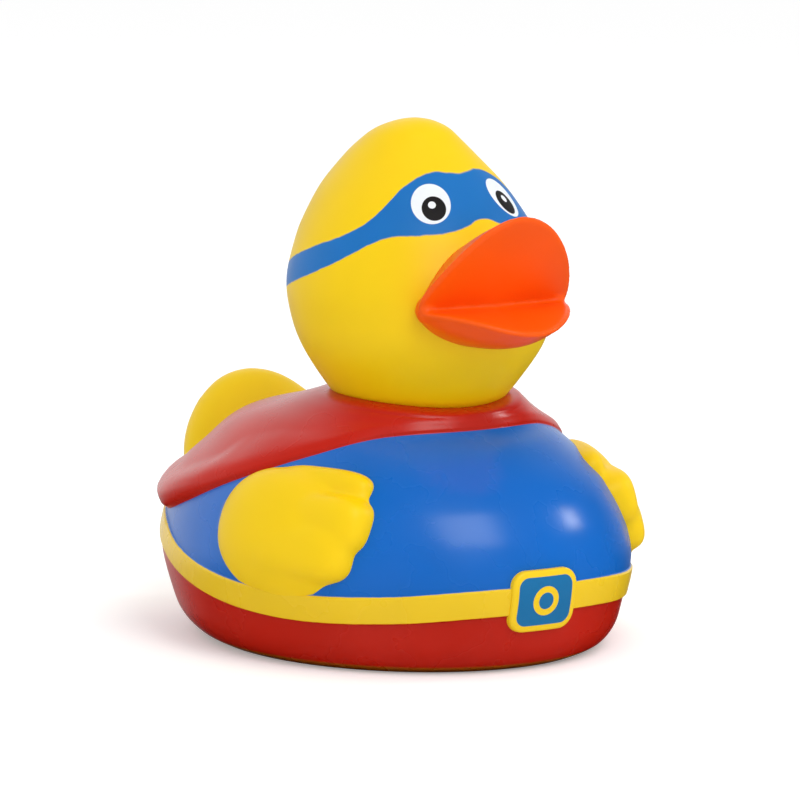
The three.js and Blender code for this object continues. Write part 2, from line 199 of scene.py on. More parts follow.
# Wing: its place on the body's side, then the palm's half length, half height and half thickness,
# then the finger lobes with shares of the palm's sizes: forward, out, up, length, height, thickness.
# A fullness of 2 makes an ellipsoid, and more makes its ends squarer.
WING_HEIGHT = 20 * MM
WING_BEARING = math.radians(68.9)
WING_LEAN = math.radians(14.2)
PALM = (14 * MM, 10.75 * MM, 6.2 * MM)
PALM_STAND_OFF = 1.5 * MM
PALM_TILT = math.radians(-8.8)
PALM_FULLNESS = 2.19
LOBES = (
    (0.341, -0.098, 0.748, 0.67, 0.336, 0.427),
    (0.617, 0.142, 0.256, 0.552, 0.446, 0.744),
    (0.309, 0.238, -0.181, 0.746, 0.458, 0.777),
)
LOBE_FULLNESS = 3.33

# Buckle, and the yellow frame and ring painted on it
BUCKLE_MIDDLE = 11.7 * MM
BUCKLE_CORNER = 2.6 * MM
BUCKLE_EDGE = 0.35 * MM
BUCKLE_DEPTH = 6 * MM
BUCKLE_FRAME = 1.0 * MM
BUCKLE_FIELD_CORNER = 1.7 * MM
BUCKLE_FIELD_SPRAY = 0.06 * MM
RING_RADIUS = 1.85 * MM
RING_HALF_WIDTH = 0.5 * MM
RING_SPRAY = 0.05 * MM

# Face paint, turned a little against the bill: the white, the pupil and the glint of an eye, each
# as (towards the bill, up, half width, half height) in mm from the eye's middle, and its colour
FACE_TURN = math.radians(5.6)
EYE_BEARING = math.radians(27.7)
EYE_HEIGHT = 71.8 * MM
EYE_PAINT = (
    ((0, 0, 3.15, 3.75), "eye"),
    ((0.35, -0.95, 1.95, 2.25), "pupil"),
    ((0.1, -0.3, 0.62, 0.66), "eye"),
)
EYE_SPRAY = 0.03

# Soft edges of the paint in mm, and how high the bare edge of the foot reaches; its darker colour is
# painted shade along the floor
SPRAY = 0.07
MASK_SPRAY = 0.16
FOOT_SPRAY = 0.25
CAPE_PAINT_LOW = 0.12
FOOT_SHADE_TOP = 1.15

# Finishes: roughness, height of the moulded grain and specular level
BODY_FINISH = (0.27, 0.01 * MM, 0.5)
HEAD_FINISH = (0.4, 0.035 * MM, 0.25)
BILL_FINISH = (0.36, 0.03 * MM, 0.25)
BARE_FINISH = (0.42, 0.035 * MM, 0.25)
BUCKLE_FINISH = (0.36, 0.03 * MM, 0.25)

# Noise in the finishes, with scales in waves per metre: cloudy colour, changes of gloss, moulded
# grain as (scale, share of the height) and uneven edges of paint as (scale, size in mm)
CLOUD_SCALE = 55.0
CLOUD_RANGE = (0.35, 0.65)
SHEEN_SCALE = 90.0
SHEEN_DETAIL = 3.0
SHEEN_RANGE = (0.3, 0.7)
SHEEN_SPREAD = (-0.03, 0.04)
GRAIN = ((2600.0, 0.35), (260.0, 0.65))
GRAIN_STRENGTH = 0.25
BODY_WOBBLE = (700.0, 0.25)
BELT_WOBBLE_SHARE = 0.4
MASK_WOBBLE = (600.0, 0.3)

# How much deeper a colour gets in its clouds
CLOUDS = {"vinyl": 0.05, "bill": 0.06, "mask": 0.12, "shirt": 0.08, "cape": 0.1, "belt": 0.05}

# Light that soaks a little way into the bare vinyl
VINYL_GLOW = {
    "Subsurface Weight": 0.12,
    "Subsurface Radius": (1.0, 0.6, 0.1),
    "Subsurface Scale": 1.2 * MM,
}

# Fineness of the meshes
BODY_COLUMNS = 320
FOOT_ROWS = 22
BELT_ROWS = 6
SHIRT_ROWS = 26
CAPE_ROWS = 40
STEP_OFFSETS = tuple(step * MM for step in (-0.45, -0.2, 0.0, 0.2, 0.45))
HEM_OFFSETS = tuple(step * MM for step in (-0.4, -0.15, 0.0, 0.15, 0.4, 0.8, 1.3, 1.8, 2.4, 3.2))
LEAST_ROW = 0.0012
HEAD_MESH = (220, 100)
TAIL_MESH = (96, 48)
HOLLOW_MESH = (48, 24)
ROUNDED_CROWN = 3 * MM
ROUNDED_TIP = 4 * MM
ROUNDINGS = 12
BILL_COLUMNS = 160
BILL_FACE_ROWS = 16
BILL_FIRST_ROW = 0.2
BILL_EDGE_ROWS = 6
BILL_FLANK_ROWS = 16
BILL_REMESH = (0.3 * MM, 16)
WING_REMESH = (0.4 * MM, 26)
EGG_MESH = (64, 48)
BUCKLE_CORNER_STEPS = 10
BUCKLE_EDGE_STEPS = 4
BUCKLE_STRIPS = 12
HOLE_SIDES = 48
HALVINGS = 30
LEAST_HOLLOW = 1 * MM
SHARP_ANGLE = math.radians(38)

# Light. Levels are strengths where 1 is white. What a reflection shows is dark in front of the duck
# and goes to white between two shares of Y behind it, and what is low counts as further forward.
SKY_LEVEL = 0.81
FRONT_LEVEL = 0.0
BACK_START = 0.05
BACK_END = 0.9
BELOW_WEIGHT = 2.0
FLOOR_HALF_WIDTH = 6.0
FLOOR_LEVEL = 0.9
FLOOR_ROUGHNESS = 0.9
FLOOR_LIFT = 0.25
WHITE = (1, 1, 1)

# Lamps: name, direction from the duck, distance and sizes in metres, power in watts, and whether
# the duck's gloss shows it
LAMPS = (
    ("top_lamp", (-0.06, -0.45, 0.89), 0.8, (0.3, 0.3), 0.6, False),
    ("front_lamp", (-0.08, -0.74, 0.66), 0.8, (0.42, 0.42), 1.7, True),
    ("side_lamp", (0.844, -0.307, 0.435), 0.8, (0.045, 0.13), 0.55, True),
    ("back_lamp", (0.75, 0.3, 0.6), 0.9, (0.3, 0.3), 0.5, False),
)

# Middle of the picture, from the body's own middle on the floor: to the right and up
VIEW_RIGHT = 0.48 * MM
VIEW_UP = 37.7 * MM
SENSOR = 36.0

# Slots of the painted moulding, in the order its faces number them
SLOT_MATERIALS = ("painted_body", "painted_head", "painted_bill", "bare_vinyl", "painted_buckle")
BODY_SLOT, HEAD_SLOT, BILL_SLOT, BARE_SLOT, BUCKLE_SLOT = range(len(SLOT_MATERIALS))


def colour(name, default, description):
    """A colour property with a linear default."""
    return bpy.props.FloatVectorProperty(
        name=name, description=description, default=default, subtype="COLOR", size=3, min=0, max=1
    )


def length(name, default, description):
    """A length property in metres."""
    return bpy.props.FloatProperty(
        name=name, description=description, default=default, min=0, unit="LENGTH", subtype="DISTANCE"
    )


class DuckSizes(bpy.types.PropertyGroup):
    """Sizes of the moulding that a user would change."""

    wall: length("Wall", 2 * MM, "Thickness of the vinyl")
    air_hole: length("Air hole", 3 * MM, "Diameter of the hole in the foot")
    cape_front: length("Cape at the chest", 0.8 * MM, "How far the cape's hem stands out at the chest")
    cape_back: length("Cape at the back", 2.4 * MM, "How far the cape's hem stands out behind the wings")
    hem: length("Hem", 2.2 * MM, "Height of the rolled hem of the cape")
    belt_relief: length("Belt relief", 0.45 * MM, "How far the belt stands out")
    belt_width: length("Belt width", 4.3 * MM, "Height of the belt")
    buckle_width: length("Buckle width", 11.9 * MM, "Width of the buckle")
    buckle_height: length("Buckle height", 9.8 * MM, "Height of the buckle")
    buckle_relief: length("Buckle relief", 1 * MM, "How far the buckle stands out")
    bill_width: length("Bill width", 27.8 * MM, "Width of the bill at the corners of the mouth")
    bill_length: length("Bill length", 16.2 * MM, "Length of the upper half of the bill")


class DuckColours(bpy.types.PropertyGroup):
    """Colours of the vinyl and the paint."""

    vinyl: colour("Vinyl", (0.93, 0.62, 0.001), "Bare yellow vinyl")
    bill: colour("Bill", (0.98, 0.105, 0.001), "Orange paint on the bill")
    mask: colour("Mask", (0.008, 0.172, 0.53), "Blue paint of the mask")
    shirt: colour("Shirt", (0.001, 0.135, 0.56), "Blue paint below the cape")
    cape: colour("Cape", (0.56, 0.012, 0.002), "Red paint of the cape and the trunks")
    belt: colour("Belt", (0.9, 0.6, 0.012), "Yellow paint of the belt")
    buckle: colour("Buckle", (0.008, 0.16, 0.38), "Blue field of the buckle")
    # Bare edge of the foot, coloured darker than the vinyl: painted shade along the floor
    foot: colour("Foot", (0.42, 0.1, 0.002), "Bare edge of the foot")
    eye: colour("Eye", (0.8, 0.85, 0.89), "White of the eyes")
    pupil: colour("Pupil", (0.012, 0.011, 0.012), "Pupils of the eyes")


class StageSettings(bpy.types.PropertyGroup):
    """Camera, lamps and floor."""

    azimuth: bpy.props.FloatProperty(
        name="Azimuth",
        description="Camera's angle round the duck from its front",
        default=math.radians(-33),
        subtype="ANGLE",
    )
    elevation: bpy.props.FloatProperty(
        name="Elevation",
        description="Camera's angle above the floor",
        default=math.radians(8),
        subtype="ANGLE",
    )
    distance: length("Distance", 0.9, "Camera's distance from the duck")
    view_width: length("View width", 129.03 * MM, "Width of the picture at the duck")


def cubic_between(start, end, rise_in, rise_out, t):
    """Smooth value between two values, with the rise per step that it has at either."""
    cubic = 2 * start - 2 * end + rise_in + rise_out
    square = 3 * end - 3 * start - 2 * rise_in - rise_out
    return ((cubic * t + square) * t + rise_in) * t + start


def spline(rows, share):
    """Smooth row of numbers at a share of the way through evenly spaced rows."""
    place = min(max(share, 0.0), 1.0) * (len(rows) - 1)
    first = min(int(place), len(rows) - 2)
    t = place - first
    before = rows[max(first - 1, 0)]
    here, there = rows[first], rows[first + 1]
    after = rows[min(first + 2, len(rows) - 1)]
    return [
        cubic_between(b, c, (c - a) / 2, (d - b) / 2, t) for a, b, c, d in zip(before, here, there, after)
    ]


def line_height(points, along):
    """Height of a smooth line through (along, height) points."""
    along = min(max(along, points[0][0]), points[-1][0])
    last = len(points) - 1
    first = next(i for i in range(last) if along <= points[i + 1][0])

    def slope(i):
        """Slope of the line at a point, from the points on either side of it."""
        low, high = points[max(i - 1, 0)], points[min(i + 1, last)]
        return (high[1] - low[1]) / (high[0] - low[0])

    (x0, y0), (x1, y1) = points[first], points[first + 1]
    span = x1 - x0
    return cubic_between(y0, y1, slope(first) * span, slope(first + 1) * span, (along - x0) / span)


def ease(value):
    """Smooth step from 0 to 1."""
    t = min(max(value, 0.0), 1.0)
    return t * t * (3 - 2 * t)


def side_line(points, y):
    """Height of a line on the body's side at a place along its length."""
    return line_height(points, y / (BODY_LENGTH / 2)) * BODY_HEIGHT


def first_share(test):
    """The lowest share at which test(share) turns true on the way from 0 to 1."""
    low, high = 0.0, 1.0
    for _ in range(HALVINGS):
        middle = (low + high) / 2
        if test(middle):
            high = middle
        else:
            low = middle
    return high


@dataclass
class Form:
    """A stack of oval sections, smaller all round by the wall."""

    rows: tuple
    bottom: float
    top: float
    width: float
    length: float
    back: float
    wall: float = 0.0

    def section(self, share):
        """(height, half width, half length, centre, dip) at a share of the way up."""
        rise, width, length, shift, dip = spline(self.rows, share)
        height = self.bottom + rise * (self.top - self.bottom)
        half_width = width * self.width / 2 - self.wall
        half_length = length * self.length / 2 - self.wall
        centre = self.back + shift * self.length / 2
        return height, half_width, half_length, centre, dip * (self.top - self.bottom)

    def point(self, share, angle):
        """The surface at a share of the way up and an angle from the front."""
        height, half_width, half_length, centre, dip = self.section(share)
        forward = math.cos(angle)
        y = centre - half_length * forward
        return Vector((half_width * math.sin(angle), y, height - dip * max(forward, 0.0) ** 2))

    def share_where(self, angle, test):
        """The lowest share at which test(point) turns true on the way up."""
        return first_share(lambda share: test(self.point(share, angle)))


def body_form():
    """Body, from the foot to the collar."""
    return Form(BODY_SECTIONS, 0, BODY_HEIGHT, BODY_WIDTH, BODY_LENGTH, 0)


def head_form():
    """Head, from inside the neck to the crown."""
    return Form(HEAD_SECTIONS, NECK_HEIGHT, CROWN_HEIGHT, HEAD_WIDTH, HEAD_WIDTH, -HEAD_FORWARD)


def tail_form():
    """Tail, from inside the rump to its upturned tip."""
    return Form(
        TAIL_SECTIONS, TAIL_ROOT_HEIGHT, TAIL_TIP_HEIGHT, TAIL_WIDTH, TAIL_THICKNESS, TAIL_BACK
    )


def tube_grid(columns, rows):
    """Columns and rows of points on a tube round Z, as a bmesh and a list of its columns."""
    grid = bmesh.new()
    line = [grid.verts.new((0, -1, row)) for row in range(rows)]
    edges = [grid.edges.new(pair) for pair in zip(line, line[1:])]
    bmesh.ops.spin(
        grid, geom=line + edges, axis=(0, 0, 1), angle=2 * math.pi, steps=columns, use_merge=True
    )
    stacks = [[None] * rows for _ in range(columns)]
    for vert in grid.verts:
        turn = math.atan2(vert.co.x, -vert.co.y) / (2 * math.pi)
        stacks[round(turn * columns) % columns][round(vert.co.z)] = vert
    return grid, stacks


def close_ends(grid):
    """Fills the open ends of a tube and turns its faces out."""
    open_edges = [edge for edge in grid.edges if edge.is_boundary]
    bmesh.ops.holes_fill(grid, edges=open_edges, sides=0)
    bmesh.ops.recalc_face_normals(grid, faces=grid.faces)
    grid.normal_update()


def loft(form, columns, rows):
    """A closed skin over a form's sections."""
    grid, stacks = tube_grid(columns, rows)
    for column, stack in enumerate(stacks):
        angle = 2 * math.pi * column / columns
        for row, vert in enumerate(stack):
            vert.co = form.point(row / (rows - 1), angle)
    close_ends(grid)
    return grid


def finished(grid, name, slot):
    """An object from a bmesh, in the scene, with every face in one slot."""
    for face in grid.faces:
        face.material_index = slot
        face.smooth = True
    mesh = bpy.data.meshes.new(name)
    grid.to_mesh(mesh)
    grid.free()
    piece = bpy.data.objects.new(name, mesh)
    bpy.context.scene.collection.objects.link(piece)
    return piece


def apply_modifiers(piece):
    """Keeps what the modifiers make and removes them."""
    depsgraph = bpy.context.evaluated_depsgraph_get()
    mesh = bpy.data.meshes.new_from_object(piece.evaluated_get(depsgraph))
    piece.modifiers.clear()
    piece.data = mesh


def combine(base, tool, operation):
    """Joins a closed form to the base, or cuts it out of the base."""
    for piece in (base, tool):
        if not piece.data.materials:
            for name in SLOT_MATERIALS:
                piece.data.materials.append(bpy.data.materials[name])
    change = base.modifiers.new(operation.title(), "BOOLEAN")
    change.operation = operation
    change.solver = "MANIFOLD"
    change.object = tool
    apply_modifiers(base)
    bpy.data.objects.remove(tool)


def remesh_piece(piece, voxel, smoothing, slot):
    """Joins overlapping closed forms in one object into one skin and softens it."""
    remesh = piece.modifiers.new("Remesh", "REMESH")
    remesh.voxel_size = voxel
    remesh.use_smooth_shade = True
    soften = piece.modifiers.new("Soften", "SMOOTH")
    soften.factor = 0.5
    soften.iterations = smoothing
    apply_modifiers(piece)
    for face in piece.data.polygons:
        face.material_index = slot


def body_shares(form, angle, sizes):
    """Where one column's rows lie, with rows along the belt's edges and the cape's hem.

    Returns the shares, and for each line its share and how much surface one share spans there.
    """
    half_belt = sizes.belt_width / 2
    found = []
    near = 0.004
    for line, above in ((BELT_LINE, -half_belt), (BELT_LINE, half_belt), (CAPE_EDGE, 0)):
        share = form.share_where(angle, lambda point: point.z >= side_line(line, point.y) + above)
        span = (form.point(share + near, angle) - form.point(share - near, angle)).length / (2 * near)
        found.append((share, span))
    belt_low, belt_high, hem = found

    def around(line, offsets):
        """Rows at distances from a line."""
        share, span = line
        return [share + offset / span for offset in offsets]

    def between(low, high, count):
        """Evenly spaced rows between two others."""
        return [low + (high - low) * (i + 1) / (count + 1) for i in range(count)]

    low, high = around(belt_low, STEP_OFFSETS), around(belt_high, STEP_OFFSETS)
    edge = around(hem, HEM_OFFSETS)
    shares = [0.0]
    shares += between(0.0, low[0], FOOT_ROWS) + low
    shares += between(low[-1], high[0], BELT_ROWS) + high
    shares += between(high[-1], edge[0], SHIRT_ROWS) + edge
    shares += between(edge[-1], 1.0, CAPE_ROWS) + [1.0]
    for i in reversed(range(len(shares) - 1)):
        shares[i] = min(shares[i], shares[i + 1] - LEAST_ROW)
    for i in range(len(shares)):
        shares[i] = max(shares[i], i * LEAST_ROW / len(shares))
    return shares, found


def cape_height(above, angle, sizes):
    """How far the cape stands out, from how far above its edge and where round the body."""
    backward = ease((abs(angle) - CAPE_TURN) / CAPE_TURN_SPAN)
    most = sizes.cape_front + (sizes.cape_back - sizes.cape_front) * backward
    rest = CAPE_REST + CAPE_REST_GAIN * backward
    step = ease((above + CAPE_STEP_START) / CAPE_STEP)
    reach = min(max(above / sizes.hem, 0.0), 1.0)
    roll = (reach + math.sin(math.pi / 2 * reach)) / 2
    settle = ease((above - sizes.hem) / CAPE_SETTLE)
    return (most + (rest - most) * settle) * (CAPE_STEP_SHARE * step + (1 - CAPE_STEP_SHARE) * roll)


def belt_height(above_low, below_high, sizes):
    """How far the belt stands out between its edges."""
    rise = ease((above_low + BELT_STEP / 2) / BELT_STEP)
    fall = ease((below_high + BELT_STEP / 2) / BELT_STEP)
    return sizes.belt_relief * rise * fall


def make_body(sizes):
    """Body with its cape and belt raised out of it."""
    form = body_form()
    rows = len(body_shares(form, 0.0, sizes)[0])
    grid, stacks = tube_grid(BODY_COLUMNS, rows)
    reliefs = {}
    for column, stack in enumerate(stacks):
        angle = 2 * math.pi * column / BODY_COLUMNS
        around = angle if angle <= math.pi else angle - 2 * math.pi
        shares, (belt_low, belt_high, hem) = body_shares(form, angle, sizes)
        for share, vert in zip(shares, stack):
            vert.co = form.point(share, angle)
            above_low = (share - belt_low[0]) * belt_low[1]
            below_high = (belt_high[0] - share) * belt_high[1]
            above_hem = (share - hem[0]) * hem[1]
            cape = cape_height(above_hem, around, sizes)
            reliefs[vert] = max(cape, belt_height(above_low, below_high, sizes))
    close_ends(grid)
    normals = {vert: vert.normal.copy() for vert in reliefs}
    for vert, relief in reliefs.items():
        vert.co += normals[vert] * relief
    return finished(grid, "body", BODY_SLOT)


def rounded_loft(form, mesh, depth):
    """A form's skin with its top rounded off over a depth."""
    grid = loft(form, *mesh)
    top = [vert for vert in grid.verts if vert.co.z > form.top - depth]
    for _ in range(ROUNDINGS):
        bmesh.ops.smooth_vert(
            grid, verts=top, factor=0.5, use_axis_x=True, use_axis_y=True, use_axis_z=True
        )
    return grid


def make_head():
    """Head with a rounded crown."""
    return finished(rounded_loft(head_form(), HEAD_MESH, ROUNDED_CROWN), "head", HEAD_SLOT)


def make_tail():
    """Upturned tail with a rounded tip."""
    return finished(rounded_loft(tail_form(), TAIL_MESH, ROUNDED_TIP), "tail", BARE_SLOT)


class BillHalf:
    """One half of the bill. Its lines run round it by an angle that is 0 at the tip."""

    def __init__(self, shape, width, length):
        self.shape = shape
        self.half_width = width / 2
        self.length = length
        self.forward = Vector((0, -math.cos(shape.rise), math.sin(shape.rise)))
        self.out = shape.side * Vector((0, -math.sin(shape.rise), -math.cos(shape.rise)))

    def inside(self, angle, half_width, start):
        """Lines that close the half inside the head and a little past the other half."""
        depth = -math.cos(angle)
        height = CREASE_HEIGHT - self.shape.side * BILL_OVERLAP * depth
        return Vector((half_width * math.sin(angle), start + BILL_INSIDE * depth, height))

    def rim(self, angle, crease):
        """The edge between the mouth's face and the flank."""
        across, ahead = math.sin(angle), math.cos(angle)
        corner = BILL_CORNER_BACK * across**BILL_CORNER_POWER
        if ahead < 0:
            return self.inside(angle, self.half_width, crease + corner)
        point = Vector((self.half_width * across, crease + corner, CREASE_HEIGHT))
        point += self.forward * self.length * ahead**self.shape.pointed
        cup = self.shape.tip_cup * ahead + self.shape.side_cup * math.sin(2 * angle) ** 2
        return point + self.out * cup

    def root_line(self, angle, head):
        """The line where the flank meets the head."""
        across, ahead = math.sin(angle), math.cos(angle)
        x = BILL_ROOT_HALF_WIDTH * across
        reach = self.shape.root * max(ahead, 0.0) ** self.shape.root_pointed
        height = CREASE_HEIGHT + self.shape.side * reach
        y = surface_front(head, x, height)
        if ahead < 0:
            return self.inside(angle, BILL_ROOT_HALF_WIDTH, y)
        return Vector((x, y, height))


def surface_front(form, x, height):
    """Where a form's front lies at a place across and up."""
    rise = (height - form.bottom) / (form.top - form.bottom)
    share = first_share(lambda share: spline(form.rows, share)[0] >= rise)
    _, half_width, half_length, centre, _ = form.section(share)
    return centre - half_length * math.sqrt(max(1 - (x / half_width) ** 2, 0.0))


def bill_half(grid, half, crease, head):
    """Adds one half of the bill: the mouth's face, a rounded rim, and a flank back to the head."""
    skin, stacks = tube_grid(BILL_COLUMNS, BILL_FACE_ROWS + BILL_EDGE_ROWS + BILL_FLANK_ROWS + 2)
    middle = Vector((0, crease, CREASE_HEIGHT))
    end_height = CREASE_HEIGHT + half.shape.side * BILL_END_RISE
    end = Vector((0, crease + 2 * BILL_INSIDE, end_height))
    for column, stack in enumerate(stacks):
        angle = 2 * math.pi * column / BILL_COLUMNS
        across, ahead = math.sin(angle), math.cos(angle)
        rim = half.rim(angle, crease)
        root = half.root_line(angle, head)
        edge = BILL_EDGE * ease(BILL_EDGE_GROWTH * ahead)
        away = (rim - middle).normalized()
        points = []
        for i in range(BILL_FACE_ROWS):
            share = (i + BILL_FIRST_ROW) / (BILL_FACE_ROWS - 1 + BILL_FIRST_ROW)
            hollow = half.shape.dish * max(ahead, 0.0) * 4 * share * (1 - share)
            points.append(middle.lerp(rim, share) - half.out * hollow)
        for i in range(BILL_EDGE_ROWS):
            turn = math.pi * (i + 1) / BILL_EDGE_ROWS
            points.append(rim + away * edge * math.sin(turn) - half.out * edge * (1 - math.cos(turn)))
        start = points[-1]
        radial = Vector((across, 0, half.shape.side * ahead))
        for i in range(BILL_FLANK_ROWS):
            share = (i + 1) / BILL_FLANK_ROWS
            swell = half.shape.swell * max(ahead, 0.0) ** 0.5 * math.sin(math.pi * share)
            points.append(start.lerp(root, share) + radial * swell)
        deeper = root + Vector((0, BILL_ROOT_DEPTH, 0))
        points += [deeper, deeper.lerp(end, BILL_END_SHARE)]
        for vert, point in zip(stack, points):
            vert.co = point
    close_ends(skin)
    add_to(grid, skin)


def add_to(grid, part):
    """Adds one bmesh to another."""
    mesh = bpy.data.meshes.new("part")
    part.to_mesh(mesh)
    part.free()
    grid.from_mesh(mesh)
    bpy.data.meshes.remove(mesh)


def add_egg(grid, place, halves, turn, lean=0.0, tilt=0.0, fullness=2.0):
    """Adds an egg with the given half sizes, tilted about X, leaned about Y and turned about Z."""
    part = bmesh.new()
    around, upward = EGG_MESH
    bmesh.ops.create_uvsphere(part, u_segments=around, v_segments=upward, radius=1.0)
    for vert in part.verts:
        vert.co /= sum(abs(value) ** fullness for value in vert.co) ** (1 / fullness)
    turned = Matrix.Rotation(turn, 4, "Z") @ Matrix.Rotation(-lean, 4, "Y") @ Matrix.Rotation(-tilt, 4, "X")
    shape = Matrix.Translation(place) @ turned @ Matrix.Diagonal((*halves, 1))
    bmesh.ops.transform(part, matrix=shape, verts=part.verts)
    add_to(grid, part)


def make_bill(sizes):
    """Open bill: a wide upturned upper half and a shorter, thicker lower half."""
    head = head_form()
    crease = surface_front(head, 0, CREASE_HEIGHT) - CREASE_STAND_OFF
    grid = bmesh.new()
    bill_half(grid, BillHalf(UPPER_BILL, sizes.bill_width, sizes.bill_length), crease, head)
    bill_half(grid, BillHalf(LOWER_BILL, LOWER_BILL_WIDTH, LOWER_BILL_LENGTH), crease, head)
    for side in (1, -1):
        across = side * (sizes.bill_width / 2 - MOUTH_CORNER_INSET)
        place = (across, crease + MOUTH_CORNER_BACK, CREASE_HEIGHT)
        add_egg(grid, place, MOUTH_CORNER, side * MOUTH_CORNER_TURN)
    piece = finished(grid, "bill", BILL_SLOT)
    remesh_piece(piece, *BILL_REMESH, BILL_SLOT)
    return piece


def make_wing(side):
    """Mitten wing on the left, side 1, or on the right, side -1."""
    form = body_form()
    share = form.share_where(math.pi / 2, lambda point: point.z >= WING_HEIGHT)
    _, half_width, half_length, centre, _ = form.section(share)
    surface = Vector(
        (half_width * math.sin(WING_BEARING), centre - half_length * math.cos(WING_BEARING), WING_HEIGHT)
    )
    out = Vector((math.sin(WING_BEARING) / half_width, -math.cos(WING_BEARING) / half_length, 0))
    out.normalize()
    forward = Vector((out.y, -out.x, 0))
    turn = math.atan2(out.y, out.x)
    half_length, half_height, half_thickness = PALM
    middle = surface + out * (PALM_STAND_OFF - half_thickness)
    leaned = Matrix.Rotation(WING_LEAN, 3, forward)
    outward, upward = leaned @ out, leaned @ Vector((0, 0, 1))
    grid = bmesh.new()
    palm = (half_thickness, half_length, half_height)
    facing = (side * turn, side * WING_LEAN)
    add_egg(grid, (side * middle.x, middle.y, middle.z), palm, *facing, PALM_TILT, PALM_FULLNESS)
    for ahead, off, up, long, tall, thick in LOBES:
        place = middle + forward * ahead * half_length
        place += outward * off * half_thickness + upward * up * half_height
        halves = (thick * half_thickness, long * half_length, tall * half_height)
        add_egg(grid, (side * place.x, place.y, place.z), halves, *facing, fullness=LOBE_FULLNESS)
    piece = finished(grid, "wing", BARE_SLOT)
    remesh_piece(piece, *WING_REMESH, BARE_SLOT)
    return piece


def round_off(grid, edges, reach, steps):
    """Rounds edges off."""
    bmesh.ops.bevel(
        grid, geom=edges, offset=reach, segments=steps, profile=0.5, affect="EDGES", material=-1
    )


def make_buckle(sizes):
    """Rounded plate that follows the chest."""
    form = body_form()
    grid = bmesh.new()
    size = Matrix.Diagonal((sizes.buckle_width, BUCKLE_DEPTH, sizes.buckle_height, 1))
    bmesh.ops.create_cube(grid, size=1, matrix=size)
    corners = [
        edge for edge in grid.edges if abs(edge.verts[0].co.y - edge.verts[1].co.y) > BUCKLE_DEPTH / 2
    ]
    round_off(grid, corners, BUCKLE_CORNER, BUCKLE_CORNER_STEPS)
    rim = [edge for edge in grid.edges if all(vert.co.y < 0 for vert in edge.verts)]
    round_off(grid, rim, BUCKLE_EDGE, BUCKLE_EDGE_STEPS)
    for axis, half in ((0, sizes.buckle_width / 2), (2, sizes.buckle_height / 2)):
        for strip in range(1, BUCKLE_STRIPS):
            place, normal = Vector(), Vector()
            place[axis] = half * (2 * strip / BUCKLE_STRIPS - 1)
            normal[axis] = 1
            geometry = grid.verts[:] + grid.edges[:] + grid.faces[:]
            bmesh.ops.bisect_plane(grid, geom=geometry, plane_co=place, plane_no=normal)
    for vert in grid.verts:
        height = BUCKLE_MIDDLE + vert.co.z
        share = form.share_where(0.0, lambda point: point.z >= height)
        _, half_width, half_length, centre, _ = form.section(share)
        chest = centre - half_length * math.sqrt(1 - (vert.co.x / half_width) ** 2)
        vert.co.y += chest + BUCKLE_DEPTH / 2 - sizes.buckle_relief
        vert.co.z = height
    bmesh.ops.recalc_face_normals(grid, faces=grid.faces)
    return finished(grid, "buckle", BUCKLE_SLOT)


def make_hollow(form, lowest, wall):
    """The inside of a form, from its own rows where it is wide enough."""
    form.wall = wall
    usable = []
    for row in form.rows:
        _, width, length, _, _ = row
        if min(width * form.width, length * form.length) / 2 - wall > LEAST_HOLLOW:
            usable.append(row)
    form.rows = usable
    top = form.bottom + usable[-1][0] * (form.top - form.bottom)
    squeeze = (top - wall - lowest) / (top - form.bottom)
    grid = loft(form, *HOLLOW_MESH)
    drop = Matrix.Translation((0, 0, lowest - form.bottom * squeeze))
    bmesh.ops.transform(grid, matrix=drop @ Matrix.Diagonal((1, 1, squeeze, 1)), verts=grid.verts)
    return finished(grid, "hollow", BARE_SLOT)


def make_air_hole(sizes):
    """Round hole down through the foot."""
    grid = bmesh.new()
    radius = sizes.air_hole / 2
    bmesh.ops.create_cone(
        grid, cap_ends=True, segments=HOLE_SIDES, radius1=radius, radius2=radius, depth=4 * sizes.wall
    )
    return finished(grid, "hole", BARE_SLOT)


def make_moulding(sizes):
    """All the forms joined, then the hollow and the air hole cut out."""
    duck = make_body(sizes)
    parts = [make_buckle(sizes), make_tail(), make_wing(1), make_wing(-1), make_head(), make_bill(sizes)]
    for part in parts:
        combine(duck, part, "UNION")
    hollows = ((body_form(), sizes.wall), (head_form(), NECK_HEIGHT), (tail_form(), TAIL_ROOT_HEIGHT))
    for form, lowest in hollows:
        combine(duck, make_hollow(form, lowest, sizes.wall), "DIFFERENCE")
    combine(duck, make_air_hole(sizes), "DIFFERENCE")
    return duck


def write_fields(mesh, sizes):
    """Writes distances in mm from the edges of the paint, positive inside it or above it."""
    fields = {"cape": [], "belt": [], "above_belt": [], "mask": []}
    for vert in mesh.vertices:
        x, y, z = vert.co
        above = z - side_line(BELT_LINE, y)
        fields["cape"].append((z - side_line(CAPE_EDGE, y)) / MM)
        fields["belt"].append((sizes.belt_width / 2 - abs(above)) / MM)
        fields["above_belt"].append(above / MM)
        around = math.atan2(x, HEAD_AXIS - y) - FACE_TURN
        degrees = abs(math.degrees(math.atan2(math.sin(around), math.cos(around))))
        below_top = line_height(MASK_TOP, degrees) - z / MM
        fields["mask"].append(min(below_top, z / MM - line_height(MASK_BOTTOM, degrees)))
    for name, values in fields.items():
        mesh.attributes.new(name, "FLOAT", "POINT").data.foreach_set("value", values)


